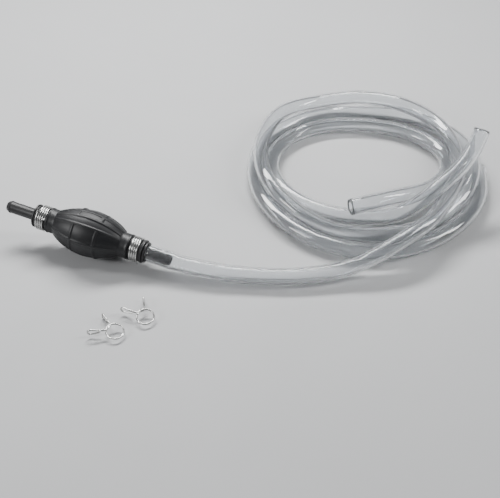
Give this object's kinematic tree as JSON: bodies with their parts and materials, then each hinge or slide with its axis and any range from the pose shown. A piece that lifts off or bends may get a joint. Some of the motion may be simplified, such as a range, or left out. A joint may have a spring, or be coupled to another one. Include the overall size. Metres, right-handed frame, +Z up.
{
  "type": "hand-bulb water siphon",
  "caption": "Ribbed rubber squeeze bulb with one-way valves and a barbed inlet, clear hose coiled beside it, a second short hose and spare wire spring clamps.",
  "frame": {"origin": "on the table, under the middle of the box round the bulb and the two spare clamps (the hoses left out)", "axes": "+Z up from the table; +X to the right, along the bulb's layout from its inlet towards the coil; +Y to the back"},
  "size_m": [0.3914, 0.2883, 0.0658],
  "materials": {
    "bulb_rubber": "matt moulded rubber with a faint sheen",
    "black_plastic": "moulded, half gloss",
    "valve_rubber": "smooth matt",
    "valve_plastic": "moulded",
    "zinc_steel": "bright zinc-plated wire",
    "spring_steel": "drawn wire",
    "clear_pvc": "clear soft vinyl, glossy"
  },
  "bodies": {
    "siphon": {"squeeze_bulb": "bulb_rubber", "inlet_fitting": "black_plastic", "outlet_fitting": "black_plastic", "inlet_neck_gasket": "valve_rubber", "outlet_neck_gasket": "valve_rubber", "inlet_neck_clamp": "zinc_steel", "outlet_neck_clamp": "zinc_steel", "inlet_valve_washer": "valve_rubber", "inlet_valve_spring": "spring_steel", "inlet_valve_cage": "valve_plastic", "outlet_valve_seat": "valve_rubber", "outlet_valve_spring": "spring_steel", "outlet_valve_guide": "valve_plastic", "outlet_hose_cuff": "clear_pvc", "outlet_hose_lead": "clear_pvc", "outlet_hose_coil": "clear_pvc", "second_hose": "clear_pvc"},
    "inlet_disc": {"inlet_valve_poppet": "valve_plastic"},
    "outlet_disc": {"outlet_valve_poppet": "valve_plastic"},
    "left_clamp": {"left_wire_clamp": "zinc_steel"},
    "right_clamp": {"right_wire_clamp": "zinc_steel"}
  },
  "joints": [
    {"name": "inlet_valve_lift", "type": "slide", "parent": "siphon", "child": "inlet_disc", "axis": [0.9373, -0.3301, -0.1115], "range_m": [0, 0.0015], "stiffness_N_per_m": 40, "springref_m": -0.002, "deforming": ["inlet_valve_spring"]},
    {"name": "outlet_valve_lift", "type": "slide", "parent": "siphon", "child": "outlet_disc", "axis": [0.9373, -0.3301, -0.1115], "range_m": [0, 0.0015], "stiffness_N_per_m": 40, "springref_m": -0.002, "deforming": ["outlet_valve_spring"]},
    {"name": "left_clamp_lift", "type": "slide", "parent": "siphon", "child": "left_clamp", "axis": [0, 0, 1], "range_m": [0, 0.05]},
    {"name": "right_clamp_lift", "type": "slide", "parent": "siphon", "child": "right_clamp", "axis": [0, 0, 1], "range_m": [0, 0.05]}
  ]
}
